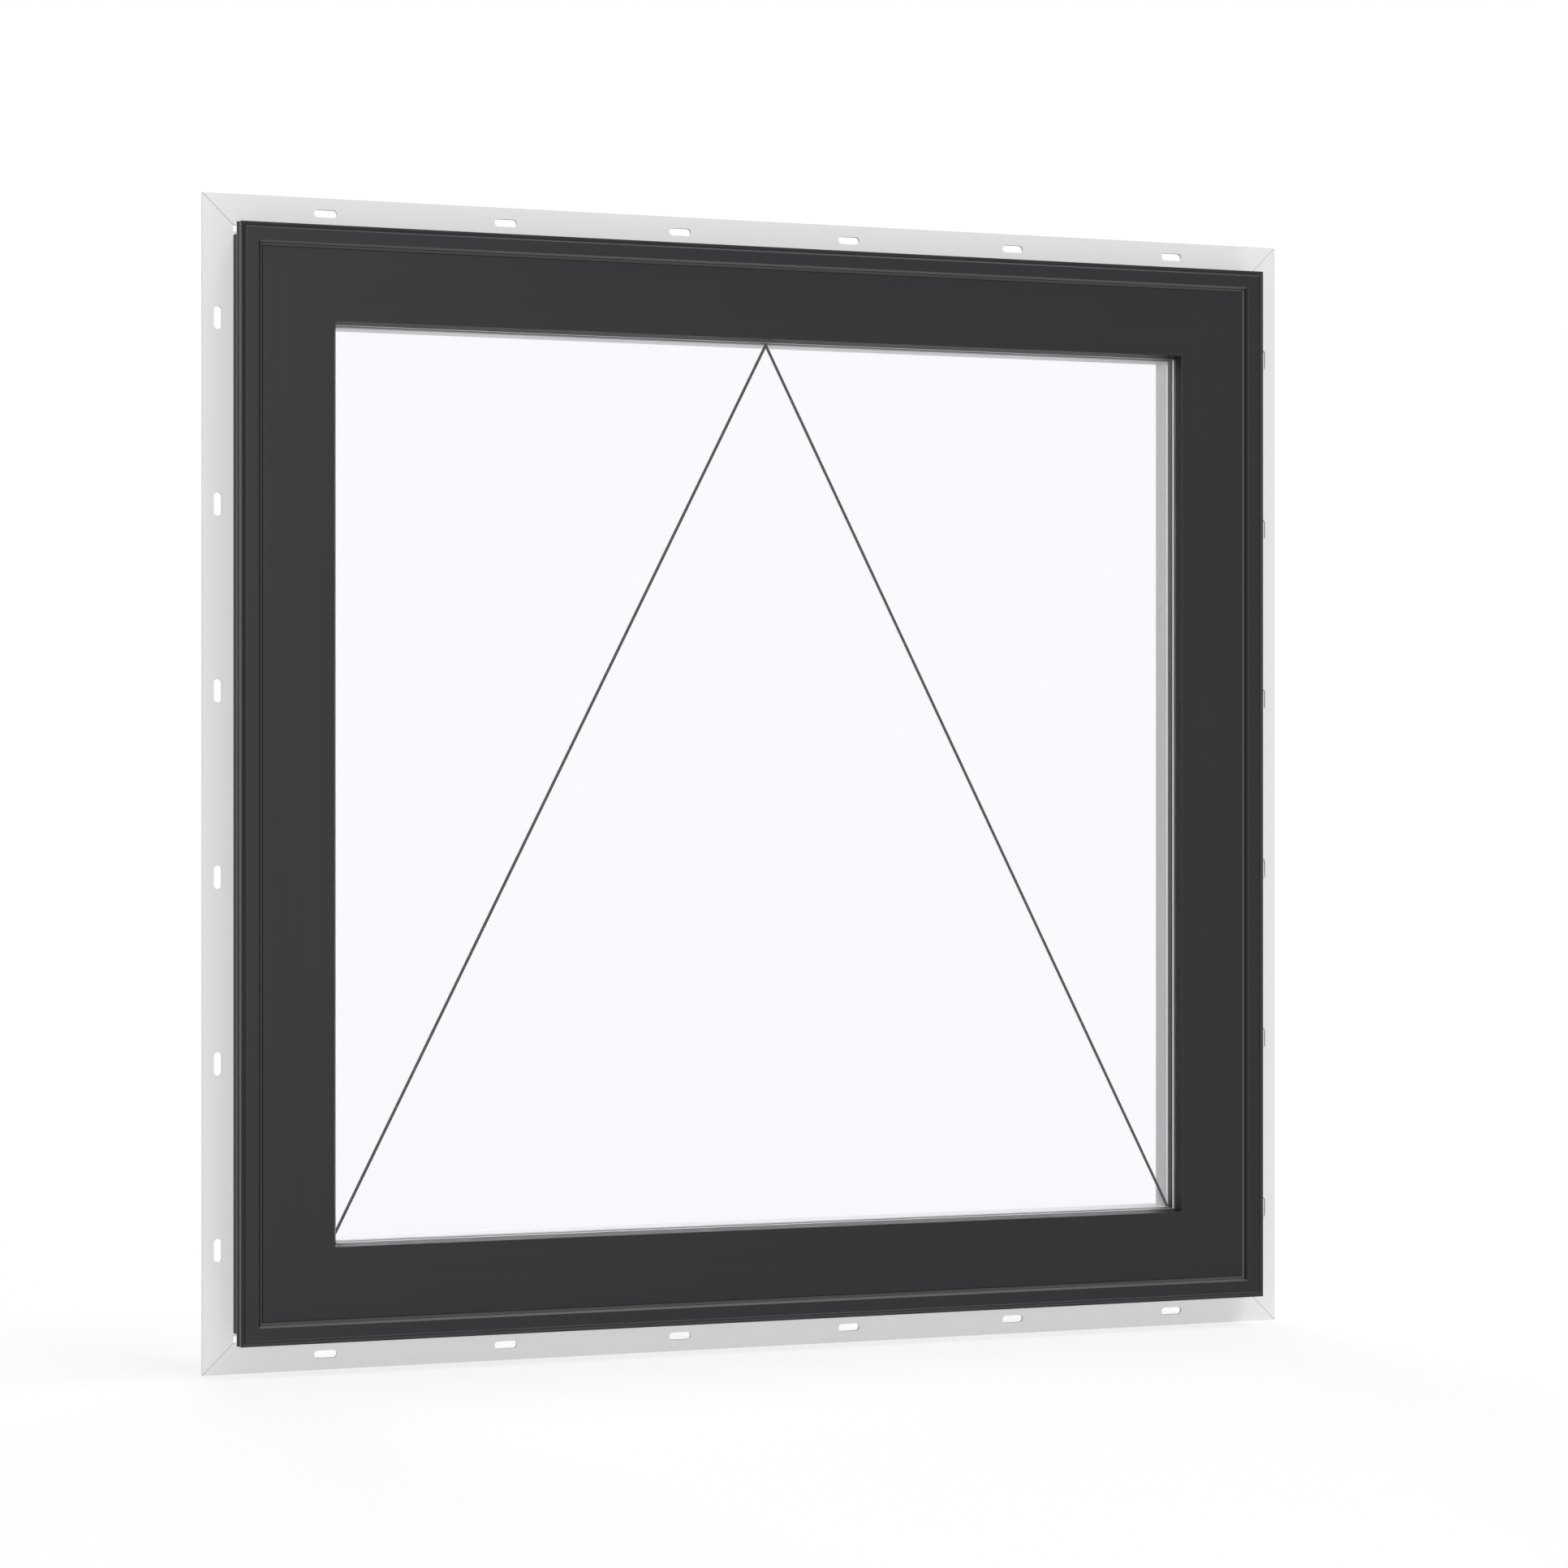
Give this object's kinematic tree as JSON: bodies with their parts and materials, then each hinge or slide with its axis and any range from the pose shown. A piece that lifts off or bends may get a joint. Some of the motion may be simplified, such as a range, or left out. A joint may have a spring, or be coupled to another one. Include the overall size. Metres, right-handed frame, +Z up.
{
  "type": "awning window",
  "caption": "Square top-hung awning window with slotted nailing fins, charcoal frame and sash, double glazing and a white inside.",
  "frame": {"origin": "on the back face of the sill fin, in the middle of its row of slots", "axes": "the outside faces -Y, +X to the right seen from outside, +Z up"},
  "size_m": [0.9652, 0.1175, 0.9652],
  "materials": {
    "exterior_charcoal": "satin charcoal coating on pultruded fibreglass",
    "interior_white": "satin white",
    "fin_vinyl": "matt pale grey",
    "glass_clear": "clear float glass",
    "spacer_metal": "dark grey mill finish",
    "seal_rubber": "matt black",
    "hardware_white": "satin white powder coat"
  },
  "bodies": {
    "root": {"bead_bottom": "interior_white", "bead_left": "interior_white", "bead_right": "interior_white", "bead_top": "interior_white", "crank_handle": "hardware_white", "fin_head": "fin_vinyl", "fin_left": "fin_vinyl", "fin_right": "fin_vinyl", "fin_sill": "fin_vinyl", "frame_head": "exterior_charcoal", "frame_left_jamb": "exterior_charcoal", "frame_right_jamb": "exterior_charcoal", "frame_sill": "exterior_charcoal", "glazing_seal_bottom": "seal_rubber", "glazing_seal_left": "seal_rubber", "glazing_seal_right": "seal_rubber", "glazing_seal_top": "seal_rubber", "inner_frame_head": "interior_white", "inner_frame_left": "interior_white", "inner_frame_right": "interior_white", "inner_frame_sill": "interior_white", "lock_lever_left": "hardware_white", "lock_lever_right": "hardware_white", "lock_plate_left": "hardware_white", "lock_plate_right": "hardware_white", "operator_housing": "hardware_white", "pane_inner": "glass_clear", "pane_outer": "glass_clear", "sash_bottom_rail": "exterior_charcoal", "sash_inner_bottom": "interior_white", "sash_inner_left": "interior_white", "sash_inner_right": "interior_white", "sash_inner_top": "interior_white", "sash_left_stile": "exterior_charcoal", "sash_right_stile": "exterior_charcoal", "sash_top_rail": "exterior_charcoal", "spacer_bottom": "spacer_metal", "spacer_left": "spacer_metal", "spacer_right": "spacer_metal", "spacer_top": "spacer_metal", "weatherstrip_head": "seal_rubber", "weatherstrip_left": "seal_rubber", "weatherstrip_right": "seal_rubber", "weatherstrip_sill": "seal_rubber"}
  },
  "joints": []
}
